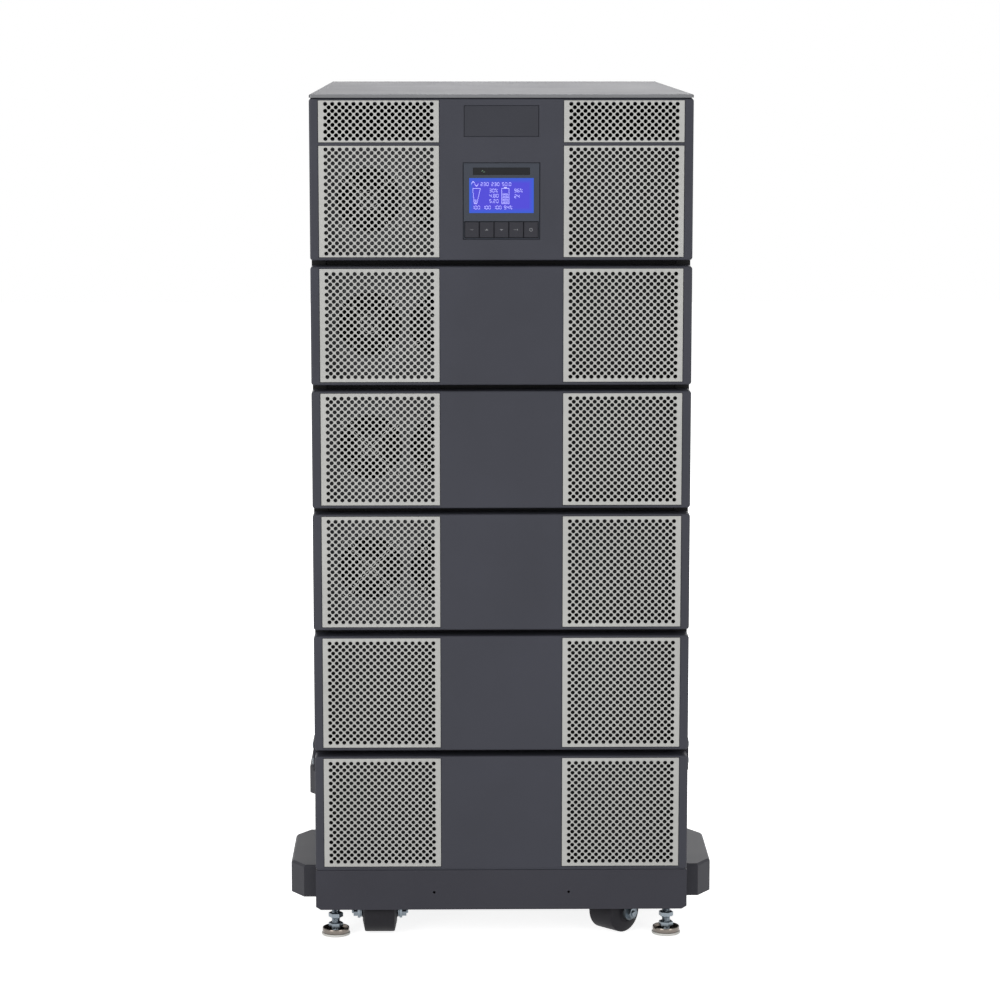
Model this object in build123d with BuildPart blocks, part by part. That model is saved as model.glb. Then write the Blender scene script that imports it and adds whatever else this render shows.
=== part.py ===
"""A modular UPS cabinet: a free-standing sheet-steel chassis with six tiers of plug-in modules.

Millimetres, X to the right, the front at -Y, Z up, the floor at Z = 0.
A folded base tray stands on four levelling feet, with four swivel casters just clear of the floor.
Each tier has a moulded bezel with two perforated grilles, and the head bezel carries the control panel.
"""

import os

from build123d import *

os.makedirs("parts", exist_ok=True)

# Cabinet
cabinet_width = 438.0
cabinet_depth = 700.0
sheet = 2.0
tier_count = 6
power_tiers = 4
tier_pitch = 143.7
bezel_gap = 7.0
head_bezel_height = 184.2
side_inset = 0.5
flange = 16.0
panel_seam = 1.2
cover_height = 3.8
cover_seam = 0.7
cover_corner = 3.0
cover_round = 1.6
shelf_lip = 12.0

# Base tray, outriggers and stacking brackets
floor_gap = 39.0
skirt_height = 48.0
base_seam = 0.8
skirt_bevel_x = 5.7
skirt_bevel_z = 3.6
skirt_lip = 5.0
skirt_hole_spacing = 158.8
skirt_hole_height = 21.0
skirt_hole_radius = 1.6
rail_width = 84.0
outrigger_reach = 31.0
outrigger_length = 168.0
outrigger_height = 38.5
outrigger_setback = 24.0
outrigger_bevel_x = 16.0
outrigger_bevel_y = 24.0
outrigger_edge = 2.5
bracket_height = 38.0
bracket_length = 30.0
bracket_thickness = 3.5
bracket_corner = 4.0
bracket_setback = 4.0
bracket_drop = 10.0

# Bezels and grilles
bezel_depth = 28.0
bezel_face = 4.0
bezel_wall = 2.5
bezel_corner = 3.5
bezel_edge = 2.4
middle_panel_width = 142.0
upper_grille_height = 47.8
grille_divider = 3.5
grille_thickness = 1.5
grille_recess = 1.8
grille_clearance = 0.4
grille_ledge = 3.0
grille_side_margin = 10.2
grille_bottom_margin = 3.5
grille_top_margin = 2.4
head_top_margin = 2.1

# Perforation: the real sheets have round holes in staggered rows.
# Every lozenge here stands for a group of them and keeps the open share of the sheet.
hole_margin = 6.3
hole_columns = 3
tall_hole_rows = 3
upper_hole_rows = 2
lozenge_share = 0.334

# Control panel
panel_width = 86.6
panel_height = 86.1
panel_bottom = 24.7
panel_sink = 0.6
panel_clearance = 0.9
panel_depth = 16.0
panel_flange = 3.0
lcd_width = 73.7
lcd_height = 39.8
lcd_bottom = 29.4
lcd_thickness = 1.5
lcd_sink = 0.5
bar_width = 65.2
bar_height = 8.5
bar_bottom = 72.7
key_count = 5
key_width = 16.3
key_height = 18.2
key_gap = 0.6
key_bottom = 1.2
key_thickness = 6.0
key_travel_space = 1.6
badge_width = 84.9
badge_height = 35.0
badge_drop = 25.7
badge_thickness = 1.2
badge_recess = 1.5

# Modules and fans
module_side_gap = 2.0
module_middle_gap = 13.0
module_headroom = 11.7
module_setback = 38.0
module_rear_gap = 6.0
fan_pitch = 84.0
fan_lift = 4.5
fan_frame = 80.0
fan_bore = 37.5
fan_length = 25.0
fan_clearance = 0.3
fan_hub = 17.0
fan_strut = 4.5
fan_strut_depth = 4.0

# Rear panels
vent_rows = 7
vent_margin = 29.0
vent_slot = 5.0
vent_pitch = 13.0
vent_bottom = 22.0
wiring_cover_margin = 29.0
wiring_cover_height = 52.0
wiring_cover_thickness = 4.0
wiring_cover_drop = 12.9

# Levelling feet
foot_inset = 22.0
foot_setback = 33.0
foot_radius = 16.0
foot_sole = 3.0
foot_sole_radius = 17.0
foot_cup = 6.0
foot_stud_radius = 5.0
foot_nut_flats = 15.0
foot_nut_height = 6.0
foot_collar_bottom = 21.0

# Casters
caster_inset = 74.5
caster_setback = 53.0
caster_trail = 13.0
caster_angles = {"front_left": 0.0, "front_right": -45.0, "rear_left": 15.0, "rear_right": -20.0}
wheel_radius = 25.0
wheel_width = 43.0
wheel_lift = 2.0
wheel_shoulder_width = 4.0
wheel_shoulder_height = 16.0
axle_radius = 4.0
axle_clearance = 0.3
axle_nut_flats = 12.0
axle_nut_height = 5.0
arm_gap = 2.0
arm_thickness = 3.0
arm_foot_radius = 9.0
crown_length = 34.0
crown_clearance = 3.5
crown_thickness = 3.0
race_gap = 0.3
race_radius = 18.0
race_height = 6.2
kingpin_radius = 4.5
caster_plate = 62.0
caster_plate_thickness = 3.0

# Heights and depths that follow from the sizes above
front_y = -cabinet_depth / 2
panel_rear_y = cabinet_depth / 2 - wiring_cover_thickness
chassis_front_y = front_y + bezel_depth
chassis_half = cabinet_width / 2 - side_inset
deck_top = floor_gap + skirt_height
bezel_height = tier_pitch - bezel_gap
lowest_bezel = deck_top + base_seam
head_bezel_bottom = lowest_bezel + (tier_count - 1) * tier_pitch
cover_bottom = head_bezel_bottom + head_bezel_height + cover_seam
cabinet_top = cover_bottom + cover_height
grille_width = (cabinet_width - middle_panel_width) / 2 - grille_side_margin
grille_height = bezel_height - grille_bottom_margin - grille_top_margin
head_grille_height = (
    head_bezel_height - grille_bottom_margin - grille_divider - upper_grille_height - head_top_margin
)
grille_centre = cabinet_width / 2 - grille_side_margin - grille_width / 2
module_width = chassis_half - sheet - module_side_gap - module_middle_gap / 2
module_centre = (module_width + module_middle_gap) / 2
module_height = tier_pitch - sheet - module_headroom
foot_x = cabinet_width / 2 - foot_inset
caster_x = cabinet_width / 2 - caster_inset
tiers = range(1, tier_count + 1)
sides = (-1, 1)
corners = {"front_left": (-1, -1), "front_right": (1, -1), "rear_left": (-1, 1), "rear_right": (1, 1)}
face_plane = Plane.XZ.offset(-front_y)


def bezel_bottom(tier):
    """Height of the lower edge of a tier's bezel; tier 1 is at the top."""
    return lowest_bezel + (tier_count - tier) * tier_pitch


def shelf_top(tier):
    """Height a tier's modules stand at: the deck for the lowest tier, a shelf for the others."""
    if tier == tier_count:
        return deck_top
    return bezel_bottom(tier) - bezel_gap / 2 + sheet / 2


def save(builder, name):
    """Label a finished piece and write it to its own file."""
    builder.part.label = name
    export_step(builder.part, f"parts/{name}.step")


def grille_windows(tier):
    """Lower edge, height and rows of holes of each grille in a tier's bezel."""
    low = bezel_bottom(tier) + grille_bottom_margin
    if tier > 1:
        return [(low, grille_height, tall_hole_rows)]
    upper = low + head_grille_height + grille_divider
    return [(low, head_grille_height, tall_hole_rows), (upper, upper_grille_height, upper_hole_rows)]


# Base tray: a folded deck with skirts, inward lips and two channels that carry the casters
wheel_top = wheel_lift + 2 * wheel_radius
crown_bottom = wheel_top + crown_clearance
crown_top = crown_bottom + crown_thickness
plate_bottom = crown_top + race_gap + race_height
rail_bottom = plate_bottom + caster_plate_thickness
half = cabinet_width / 2
with BuildPart() as base_tray:
    with BuildSketch(face_plane) as skirt_outline:
        with BuildLine():
            Polyline(
                (-half, deck_top),
                (half, deck_top),
                (half, floor_gap + skirt_bevel_z),
                (half - skirt_bevel_x, floor_gap),
                (skirt_bevel_x - half, floor_gap),
                (-half, floor_gap + skirt_bevel_z),
                close=True,
            )
        make_face()
    extrude(amount=-cabinet_depth)
    with BuildSketch(face_plane.offset(-sheet)):
        add(skirt_outline.sketch_local)
        offset(amount=-sheet, kind=Kind.INTERSECTION)
    extrude(amount=2 * sheet - cabinet_depth, mode=Mode.SUBTRACT)
    with BuildSketch(Plane.XY.offset(floor_gap)):
        Rectangle(2 * (half - skirt_bevel_x - skirt_lip), cabinet_depth - 2 * sheet)
    extrude(amount=skirt_height / 2, mode=Mode.SUBTRACT)
    for end in sides:
        rail_y = end * (cabinet_depth / 2 - caster_setback)
        with BuildSketch(Plane.YZ):
            with Locations((rail_y, (rail_bottom + deck_top - sheet) / 2)):
                Rectangle(rail_width, deck_top - sheet - rail_bottom)
            with Locations((rail_y, (rail_bottom + deck_top) / 2)):
                Rectangle(rail_width - 2 * sheet, deck_top - rail_bottom - 2 * sheet, mode=Mode.SUBTRACT)
        extrude(amount=half - sheet, both=True)
    with BuildSketch(face_plane):
        with Locations((0, floor_gap + skirt_hole_height)):
            with GridLocations(skirt_hole_spacing, 1, 2, 1):
                Circle(skirt_hole_radius)
    extrude(amount=-sheet, mode=Mode.SUBTRACT)
save(base_tray, "base_tray")

# Outriggers: moulded blocks screwed to the base's side skirts, a pair at the front and one at the rear
for end, pair_name in ((-1, "outriggers_front"), (1, "outriggers_rear")):
    with BuildPart() as outriggers:
        near = end * (cabinet_depth / 2 - outrigger_setback)
        far = near - end * outrigger_length
        with BuildSketch(Plane.XY.offset(deck_top - outrigger_height)):
            for side in sides:
                reach = side * (half + outrigger_reach)
                with BuildLine():
                    Polyline(
                        (side * half, near),
                        (reach - side * outrigger_bevel_x, near),
                        (reach, near - end * outrigger_bevel_y),
                        (reach, far + end * outrigger_bevel_y),
                        (reach - side * outrigger_bevel_x, far),
                        (side * half, far),
                        close=True,
                    )
                make_face()
        extrude(amount=outrigger_height)
        top_edges = outriggers.edges().group_by(Axis.Z)[-1]
        chamfer(top_edges.filter_by(lambda e: abs(abs(e.center().X) - half) > outrigger_edge), outrigger_edge)
    save(outriggers, pair_name)

# Side panels: folded sheets with a flange at the front and the rear, split at the stacking joint
joint_height = bezel_bottom(tier_count - 1) - bezel_gap / 2
for side, panel_name in ((-1, "side_panels_left"), (1, "side_panels_right")):
    with BuildPart() as side_panels:
        inner = side * (chassis_half - sheet)
        outer = side * chassis_half
        tip = side * (chassis_half - flange)
        back = panel_rear_y - sheet
        for low, high in (
            (deck_top, joint_height - panel_seam / 2),
            (joint_height + panel_seam / 2, cover_bottom),
        ):
            with BuildSketch(Plane.XY.offset(low)):
                with BuildLine():
                    Polyline(
                        (outer, chassis_front_y),
                        (outer, back),
                        (tip, back),
                        (tip, back - sheet),
                        (inner, back - sheet),
                        (inner, chassis_front_y + sheet),
                        (tip, chassis_front_y + sheet),
                        (tip, chassis_front_y),
                        close=True,
                    )
                make_face()
            extrude(amount=high - low)
    save(side_panels, panel_name)

# Stacking brackets: rounded plates that tie the upper chassis to the lower one
with BuildPart() as stacking_brackets:
    bracket_y = chassis_front_y + bracket_setback + bracket_length / 2
    for side in sides:
        side_plane = Plane(origin=(side * chassis_half, 0, 0), x_dir=(0, 1, 0), z_dir=(side, 0, 0))
        upright = side_plane.y_dir.Z
        with BuildSketch(side_plane):
            with Locations((bracket_y, upright * (joint_height - bracket_drop))):
                RectangleRounded(bracket_length, bracket_height, bracket_corner)
        extrude(amount=bracket_thickness)
save(stacking_brackets, "stacking_brackets")

# Top cover: a hemmed sheet that reaches over the head bezel
with BuildPart() as top_cover:
    with BuildSketch(Plane.XY.offset(cover_bottom)):
        with Locations((0, (front_y + panel_rear_y) / 2)):
            RectangleRounded(cabinet_width, panel_rear_y - front_y, cover_corner)
    extrude(amount=cover_height)
    fillet(top_cover.faces().sort_by(Axis.Z)[-1].edges(), cover_round)
save(top_cover, "top_cover")

# Shelves: one under every tier but the lowest, with a down-turned front edge
with BuildPart() as tier_shelves:
    shelf_front = chassis_front_y + sheet
    shelf_back = panel_rear_y - 2 * sheet
    for tier in range(1, tier_count):
        top = shelf_top(tier)
        with BuildSketch(Plane.YZ):
            with BuildLine():
                Polyline(
                    (shelf_front, top),
                    (shelf_back, top),
                    (shelf_back, top - sheet),
                    (shelf_front + sheet, top - sheet),
                    (shelf_front + sheet, top - shelf_lip),
                    (shelf_front, top - shelf_lip),
                    close=True,
                )
            make_face()
        extrude(amount=chassis_half - sheet, both=True)
save(tier_shelves, "tier_shelves")

# Rear panels: two sheets with rows of exhaust slots, split at the stacking joint
with BuildPart() as rear_panels:
    for low, high in (
        (deck_top, joint_height - panel_seam / 2),
        (joint_height + panel_seam / 2, cover_bottom),
    ):
        with BuildSketch(Plane.XZ.offset(-panel_rear_y)):
            with Locations((0, (low + high) / 2)):
                Rectangle(2 * chassis_half, high - low)
        extrude(amount=sheet)
    for tier in tiers:
        slot_middle = bezel_bottom(tier) + vent_bottom + (vent_rows - 1) * vent_pitch / 2
        with BuildSketch(Plane.XZ.offset(-panel_rear_y)):
            with Locations((0, slot_middle)):
                with GridLocations(2 * module_centre, vent_pitch, 2, vent_rows):
                    Rectangle(module_width - 2 * vent_margin, vent_slot)
        extrude(amount=sheet, mode=Mode.SUBTRACT)
save(rear_panels, "rear_panels")

# Wiring cover: a plain raised plate over the cable entry at the top of the rear
with BuildPart() as wiring_cover:
    with BuildSketch(Plane.XZ.offset(-panel_rear_y)):
        with Locations((0, cover_bottom - wiring_cover_drop - wiring_cover_height / 2)):
            Rectangle(cabinet_width - 2 * wiring_cover_margin, wiring_cover_height)
    extrude(amount=-wiring_cover_thickness)
    chamfer(wiring_cover.faces().sort_by(Axis.Y)[-1].edges(), wiring_cover_thickness / 4)
save(wiring_cover, "wiring_cover")


# Bezels: moulded trays with rounded corners and front edges, hollow from behind.
# Each grille has an opening with a shallow seat the sheet lies in; the head bezel also takes the control panel.
panel_middle = head_bezel_bottom + panel_bottom + panel_height / 2
badge_middle = head_bezel_bottom + head_bezel_height - badge_drop
for tier in tiers:
    with BuildPart() as bezel:
        height = bezel_height if tier > 1 else head_bezel_height
        middle = bezel_bottom(tier) + height / 2
        with BuildSketch(face_plane):
            with Locations((0, middle)):
                RectangleRounded(cabinet_width, height, bezel_corner)
        extrude(amount=-bezel_depth)
        fillet(bezel.faces().sort_by(Axis.Y)[0].edges(), bezel_edge)
        with BuildSketch(face_plane.offset(-bezel_face)):
            with Locations((0, middle)):
                Rectangle(cabinet_width - 2 * bezel_wall, height - 2 * bezel_wall)
        extrude(amount=bezel_face - bezel_depth, mode=Mode.SUBTRACT)
        for window_low, window_height, _ in grille_windows(tier):
            seats = [(side * grille_centre, window_low + window_height / 2) for side in sides]
            with BuildSketch(face_plane):
                with Locations(*seats):
                    Rectangle(grille_width + 2 * grille_clearance, window_height + 2 * grille_clearance)
            extrude(amount=-grille_recess, mode=Mode.SUBTRACT)
            with BuildSketch(face_plane):
                with Locations(*seats):
                    Rectangle(grille_width - 2 * grille_ledge, window_height - 2 * grille_ledge)
            extrude(amount=-bezel_face, mode=Mode.SUBTRACT)
        if tier == 1:
            with BuildSketch(face_plane):
                with Locations((0, panel_middle)):
                    Rectangle(panel_width + 2 * panel_clearance, panel_height + 2 * panel_clearance)
            extrude(amount=-bezel_face, mode=Mode.SUBTRACT)
            with BuildSketch(face_plane):
                with Locations((0, badge_middle)):
                    Rectangle(badge_width + 2 * grille_clearance, badge_height + 2 * grille_clearance)
            extrude(amount=-badge_recess, mode=Mode.SUBTRACT)
    save(bezel, f"bezel_{tier}")

# Grilles: flat sheets laid in the bezel seats, pierced in staggered rows
for tier in tiers:
    with BuildPart() as grilles:
        for low, height, rows in grille_windows(tier):
            field_width = grille_width - 2 * hole_margin
            field_height = height - 2 * hole_margin
            pitch_x = field_width / (hole_columns - 1 + 2 * lozenge_share)
            pitch_z = field_height / (rows - 1 + 2 * lozenge_share)
            lozenge_x = pitch_x * lozenge_share
            lozenge_z = pitch_z * lozenge_share
            for side in sides:
                centre = (side * grille_centre, low + height / 2)
                with BuildSketch(face_plane.offset(-grille_recess)):
                    with Locations(centre):
                        Rectangle(grille_width, height)
                    with Locations(centre):
                        with GridLocations(pitch_x, pitch_z, hole_columns, rows):
                            Polygon(
                                (-lozenge_x, 0), (0, -lozenge_z), (lozenge_x, 0), (0, lozenge_z),
                                align=None, mode=Mode.SUBTRACT,
                            )
                        with GridLocations(pitch_x, pitch_z, hole_columns - 1, rows - 1):
                            Polygon(
                                (-lozenge_x, 0), (0, -lozenge_z), (lozenge_x, 0), (0, lozenge_z),
                                align=None, mode=Mode.SUBTRACT,
                            )
                extrude(amount=grille_thickness)
    save(grilles, f"grilles_{tier}")

# Control panel housing: a block with a flange behind the bezel face, and pockets for screen, bar and keys
panel_low = head_bezel_bottom + panel_bottom
panel_plane = face_plane.offset(-panel_sink)
key_row = key_count * key_width + (key_count + 1) * key_gap
key_middle = panel_low + key_bottom + key_height / 2
lcd_middle = panel_low + lcd_bottom + lcd_height / 2
bar_middle = panel_low + bar_bottom + bar_height / 2
with BuildPart() as display_housing:
    with BuildSketch(panel_plane):
        with Locations((0, panel_middle)):
            Rectangle(panel_width, panel_height)
    extrude(amount=-panel_depth)
    with BuildSketch(face_plane.offset(-bezel_face)):
        with Locations((0, panel_middle)):
            Rectangle(panel_width + 2 * panel_flange, panel_height + 2 * panel_flange)
    extrude(amount=-sheet)
    with BuildSketch(panel_plane):
        with Locations((0, lcd_middle)):
            Rectangle(lcd_width, lcd_height)
        with Locations((0, bar_middle)):
            Rectangle(bar_width, bar_height)
    extrude(amount=-lcd_thickness - lcd_sink, mode=Mode.SUBTRACT)
    with BuildSketch(panel_plane):
        with Locations((0, key_middle)):
            Rectangle(key_row, key_height + 2 * key_gap)
    extrude(amount=-key_thickness - key_travel_space, mode=Mode.SUBTRACT)
save(display_housing, "display_housing")

with BuildPart() as lcd_screen:
    with BuildSketch(panel_plane.offset(-lcd_sink)):
        with Locations((0, lcd_middle)):
            Rectangle(lcd_width, lcd_height)
    extrude(amount=-lcd_thickness)
save(lcd_screen, "lcd_screen")

with BuildPart() as status_bar:
    with BuildSketch(panel_plane.offset(-lcd_sink)):
        with Locations((0, bar_middle)):
            Rectangle(bar_width, bar_height)
    extrude(amount=-lcd_thickness)
save(status_bar, "status_bar")

# Keys: five caps side by side in the pocket under the screen
for number in range(1, key_count + 1):
    key_x = (number - (key_count + 1) / 2) * (key_width + key_gap)
    with BuildPart() as key:
        with BuildSketch(panel_plane):
            with Locations((key_x, key_middle)):
                Rectangle(key_width, key_height)
        extrude(amount=-key_thickness)
        chamfer(key.faces().sort_by(Axis.Y)[0].edges(), key_gap)
    save(key, f"key_{number}")

# Badge plate: a blank plate in the seat above the control panel
with BuildPart() as badge_plate:
    with BuildSketch(face_plane.offset(-badge_recess)):
        with Locations((0, badge_middle)):
            Rectangle(badge_width, badge_height)
    extrude(amount=badge_thickness)
    chamfer(badge_plate.faces().sort_by(Axis.Y)[0].edges(), badge_thickness / 3)
save(badge_plate, "badge_plate")

# Modules: closed boxes on the shelves; those with fans have two square pockets in the front
module_front = Plane.XZ.offset(-(front_y + module_setback))
module_length = panel_rear_y - sheet - module_rear_gap - front_y - module_setback
fan_spots = {
    tier: [
        (-module_centre + side * fan_pitch / 2, shelf_top(tier) + module_height / 2 + fan_lift)
        for side in sides
    ]
    for tier in range(1, power_tiers + 1)
}
with BuildPart() as power_modules:
    for tier in range(1, power_tiers + 1):
        with BuildSketch(module_front):
            with Locations((-module_centre, shelf_top(tier) + module_height / 2)):
                Rectangle(module_width, module_height)
        extrude(amount=-module_length)
    for tier in range(1, power_tiers + 1):
        with BuildSketch(module_front):
            with Locations(*fan_spots[tier]):
                Rectangle(fan_frame + 2 * fan_clearance, fan_frame + 2 * fan_clearance)
        extrude(amount=-fan_length, mode=Mode.SUBTRACT)
save(power_modules, "power_modules")

with BuildPart() as battery_modules:
    bays = [(1, tier) for tier in tiers] + [(-1, tier) for tier in tiers if tier > power_tiers]
    for side, tier in bays:
        with BuildSketch(module_front):
            with Locations((side * module_centre, shelf_top(tier) + module_height / 2)):
                Rectangle(module_width, module_height)
        extrude(amount=-module_length)
save(battery_modules, "battery_modules")

# Fans: square frames in the module's pockets, each with a round bore and a hub on four diagonal struts
with BuildPart() as fans:
    for tier in range(1, power_tiers + 1):
        for spot in fan_spots[tier]:
            with BuildSketch(module_front):
                with Locations(spot):
                    Rectangle(fan_frame, fan_frame)
                    Circle(fan_bore, mode=Mode.SUBTRACT)
                    Circle(fan_hub)
            extrude(amount=-fan_length)
            with BuildSketch(module_front.offset(-fan_length)):
                with Locations(Location(spot, 45), Location(spot, 135)):
                    Rectangle(2 * fan_bore + fan_strut / 2, fan_strut)
            extrude(amount=fan_strut_depth)
save(fans, "fans")

# Levelling feet: a soled cup on a threaded stud that runs up to the caster channel, with two nuts
with BuildPart() as levelling_feet:
    cup_top = foot_sole + foot_cup
    foot_spots = [(side * foot_x, end * (cabinet_depth / 2 - foot_setback)) for side, end in corners.values()]
    with BuildSketch(Plane.XY):
        with Locations(*foot_spots):
            Circle(foot_sole_radius)
    extrude(amount=foot_sole)
    with BuildSketch(Plane.XY.offset(foot_sole)):
        with Locations(*foot_spots):
            Circle(foot_radius)
    extrude(amount=foot_cup)
    chamfer(levelling_feet.edges().group_by(Axis.Z)[-1], foot_cup / 3)
    with BuildSketch(Plane.XY.offset(cup_top)):
        with Locations(*foot_spots):
            Circle(foot_stud_radius)
    extrude(amount=rail_bottom - cup_top)
    for nut_bottom in (cup_top, foot_collar_bottom):
        with BuildSketch(Plane.XY.offset(nut_bottom)):
            with Locations(*foot_spots):
                RegularPolygon(foot_nut_flats / 2, 6, major_radius=False)
        extrude(amount=foot_nut_height)
save(levelling_feet, "levelling_feet")


def caster_plane(corner):
    """A plane on the floor under a caster's kingpin: X along the wheel axle, Y away from the wheel."""
    side, end = corners[corner]
    floor_point = (side * caster_x, end * (cabinet_depth / 2 - caster_setback), 0)
    return Plane(origin=floor_point, x_dir=(1, 0, 0), z_dir=(0, 0, 1)).rotated((0, 0, caster_angles[corner]))


def axle_plane(floor, along):
    """A plane square to the axle, centred on it, some way along it from the middle of the wheel."""
    centre = floor.from_local_coords((along, -caster_trail, wheel_lift + wheel_radius))
    return Plane(origin=centre, x_dir=floor.y_dir, z_dir=floor.x_dir)


# Caster plates: a bolting plate, the bearing race under it and the kingpin
with BuildPart() as caster_plates:
    for corner in corners:
        floor = caster_plane(corner)
        spot = (floor.origin.X, floor.origin.Y)
        for low, high, radius in (
            (crown_top + race_gap, plate_bottom, race_radius),
            (crown_bottom, plate_bottom, kingpin_radius),
        ):
            with BuildSketch(Plane.XY.offset(low)):
                with Locations(spot):
                    Circle(radius)
            extrude(amount=high - low)
        with BuildSketch(Plane.XY.offset(plate_bottom)):
            with Locations(spot):
                Rectangle(caster_plate, caster_plate)
        extrude(amount=caster_plate_thickness)
save(caster_plates, "caster_plates")

# Casters: a crown that turns on the kingpin, two arms with the axle, and the wheel between them
arm_inner = wheel_width / 2 + arm_gap
arm_outer = arm_inner + arm_thickness
for corner in corners:
    floor = caster_plane(corner)
    with BuildPart() as fork:
        with BuildSketch(floor.offset(crown_bottom)):
            Rectangle(2 * arm_outer, crown_length)
            Circle(kingpin_radius + race_gap, mode=Mode.SUBTRACT)
        extrude(amount=crown_thickness)
        for side in sides:
            arm_start = axle_plane(floor, side * arm_inner)
            with BuildSketch(arm_start):
                Circle(arm_foot_radius)
                crown_height = crown_top - wheel_lift - wheel_radius
                with Locations((caster_trail, crown_height - crown_thickness / 2)):
                    Rectangle(crown_length, crown_thickness)
                make_hull()
            extrude(amount=side * arm_thickness)
            with BuildSketch(axle_plane(floor, side * arm_outer)):
                RegularPolygon(axle_nut_flats / 2, 6, major_radius=False)
            extrude(amount=side * axle_nut_height)
        with BuildSketch(axle_plane(floor, 0)):
            Circle(axle_radius)
        extrude(amount=arm_inner, both=True)
    save(fork, f"caster_fork_{corner}")

    with BuildPart() as wheel:
        bore = axle_radius + axle_clearance
        rim = wheel_width / 2
        tread = rim - wheel_shoulder_width
        centre = axle_plane(floor, 0).origin
        with BuildSketch(Plane(origin=centre, x_dir=floor.x_dir, z_dir=-floor.y_dir)):
            with BuildLine():
                Polyline(
                    (-rim, bore),
                    (-rim, wheel_radius - wheel_shoulder_height),
                    (-tread, wheel_radius),
                    (tread, wheel_radius),
                    (rim, wheel_radius - wheel_shoulder_height),
                    (rim, bore),
                    close=True,
                )
            make_face()
        revolve(axis=Axis(centre, floor.x_dir))
    save(wheel, f"caster_wheel_{corner}")
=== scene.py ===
# %% [markdown]
# # A modular UPS cabinet
# The object is a tall cabinet of power and battery modules: dark moulded bezels, silver perforated
# grilles, a small display, and a folded steel base on levelling feet and casters. Its solids arrive as
# a fixed frame from CAD. This lesson gives every solid a finish and adds the fine pieces that CAD
# leaves out. Their places are read from the boxes of the solids, so the two can't drift apart.

# %% Frame
import bpy
import numpy as np
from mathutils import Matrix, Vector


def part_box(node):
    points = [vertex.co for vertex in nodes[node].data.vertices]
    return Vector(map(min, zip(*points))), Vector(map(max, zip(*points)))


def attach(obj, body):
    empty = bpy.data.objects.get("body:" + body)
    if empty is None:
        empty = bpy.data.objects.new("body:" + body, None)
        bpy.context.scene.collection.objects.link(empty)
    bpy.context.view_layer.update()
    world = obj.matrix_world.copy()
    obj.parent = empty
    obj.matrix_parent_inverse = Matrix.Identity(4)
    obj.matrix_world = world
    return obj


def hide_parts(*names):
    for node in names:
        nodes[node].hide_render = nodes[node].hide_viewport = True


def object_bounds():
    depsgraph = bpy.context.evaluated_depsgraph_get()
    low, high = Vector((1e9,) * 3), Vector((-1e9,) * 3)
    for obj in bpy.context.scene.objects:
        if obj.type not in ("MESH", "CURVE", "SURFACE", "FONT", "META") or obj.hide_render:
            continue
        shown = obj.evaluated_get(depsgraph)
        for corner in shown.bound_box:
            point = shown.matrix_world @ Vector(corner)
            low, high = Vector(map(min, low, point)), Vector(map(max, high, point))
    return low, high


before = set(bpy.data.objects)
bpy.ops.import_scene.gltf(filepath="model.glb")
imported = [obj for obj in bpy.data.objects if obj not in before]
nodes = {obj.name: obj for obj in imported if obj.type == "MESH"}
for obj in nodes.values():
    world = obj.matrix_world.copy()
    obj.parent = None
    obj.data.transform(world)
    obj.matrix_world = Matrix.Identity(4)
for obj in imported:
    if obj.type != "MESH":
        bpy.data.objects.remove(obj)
cad_low, cad_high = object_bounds()
scene = bpy.context.scene
print("frame loaded:", len(nodes), "nodes, top at", round(cad_high[2], 3))

# %% [markdown]
# ## Camera
# The picture looks at the front from a little above the top. A lens shift could frame it and keep the
# upright edges parallel, but it would push the cabinet out of the frame in other views. So the camera
# is turned down instead, and a long lens from far away keeps the edges from running together by more
# than a few percent.

# %% Camera
view_height, view_distance, view_side = 1.0850, 3.95, -0.0521
tilt_down, turn_right = 0.1533, 0.0140
lens = bpy.data.cameras.new("camera")
lens.lens = 113.2
camera = bpy.data.objects.new("camera", lens)
camera.location = (view_side, -view_distance, view_height)
camera.rotation_euler = (np.pi / 2 - tilt_down, 0, -turn_right)
scene.collection.objects.link(camera)
scene.camera = camera
scene.view_settings.view_transform = "Standard"
print("camera", round(lens.lens, 1), "mm,", view_distance, "m from the middle")

# %% [markdown]
# ## Shader arithmetic
# A material is a graph of nodes, and a graph is slow to read in code. A small class can wrap one output
# socket and let the usual signs add Math nodes, so that a pattern reads like the sum it is. One method
# adds all other nodes.


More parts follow.
